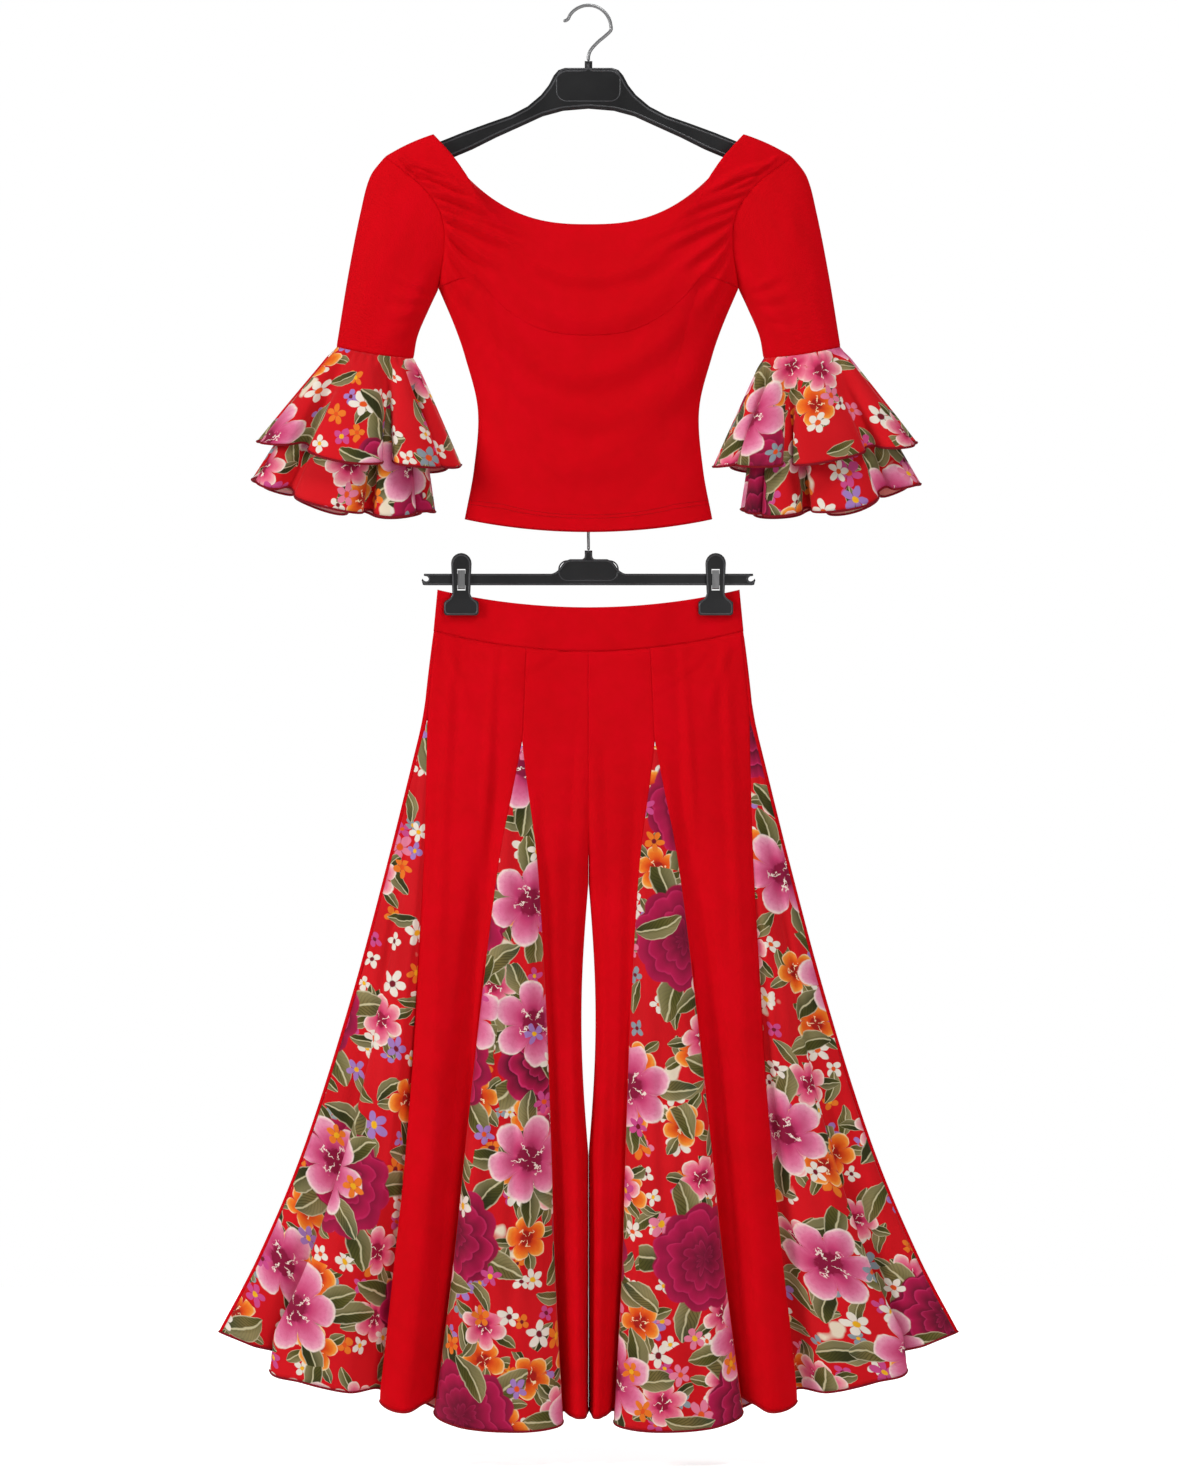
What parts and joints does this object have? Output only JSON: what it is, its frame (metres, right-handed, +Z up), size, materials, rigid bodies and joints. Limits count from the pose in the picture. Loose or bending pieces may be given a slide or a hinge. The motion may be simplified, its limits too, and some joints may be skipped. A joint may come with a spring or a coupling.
{
  "type": "flamenco top and trousers on hangers",
  "caption": "Gathered red top with flounced sleeves on a hanger, and wide red trousers with printed godets held by a clip hanger",
  "frame": {"origin": "the point under the crown of the top hanger's hook where a rail carries it", "axes": "+Z up, +X to the right of somebody facing the front, +Y to the back"},
  "size_m": [0.869, 0.1419, 1.6811],
  "materials": {
    "red_jersey": "matt stretch jersey",
    "printed_cloth": "matt printed crepe with a floral print",
    "black_plastic": "moulded, satin",
    "black_rubber": "matt soft pad",
    "steel": "drawn wire"
  },
  "bodies": {
    "root": {"bodice_front": "red_jersey", "bodice_back": "red_jersey", "waistband_front": "red_jersey", "waistband_back": "red_jersey", "sleeve_left": "red_jersey", "sleeve_right": "red_jersey", "front_outer_left": "red_jersey", "front_outer_right": "red_jersey", "front_inner_left": "red_jersey", "front_inner_right": "red_jersey", "back_inner_left": "red_jersey", "back_inner_right": "red_jersey", "back_outer_left": "red_jersey", "back_outer_right": "red_jersey", "flounce_upper_left": "printed_cloth", "flounce_upper_right": "printed_cloth", "flounce_lower_left": "printed_cloth", "flounce_lower_right": "printed_cloth", "godet_side_left": "printed_cloth", "godet_side_right": "printed_cloth", "godet_front_left": "printed_cloth", "godet_front_right": "printed_cloth", "godet_back_left": "printed_cloth", "godet_back_right": "printed_cloth", "top_hanger": "black_plastic", "trouser_hanger": "black_plastic", "clip_lever_front_left": "black_plastic", "clip_lever_front_right": "black_plastic", "clip_lever_back_left": "black_plastic", "clip_lever_back_right": "black_plastic", "clip_pad_front_left": "black_rubber", "clip_pad_front_right": "black_rubber", "clip_pad_back_left": "black_rubber", "clip_pad_back_right": "black_rubber", "top_hanger_hook": "steel", "trouser_hanger_hook": "steel", "clip_spring_left": "steel", "clip_spring_right": "steel"}
  },
  "joints": []
}
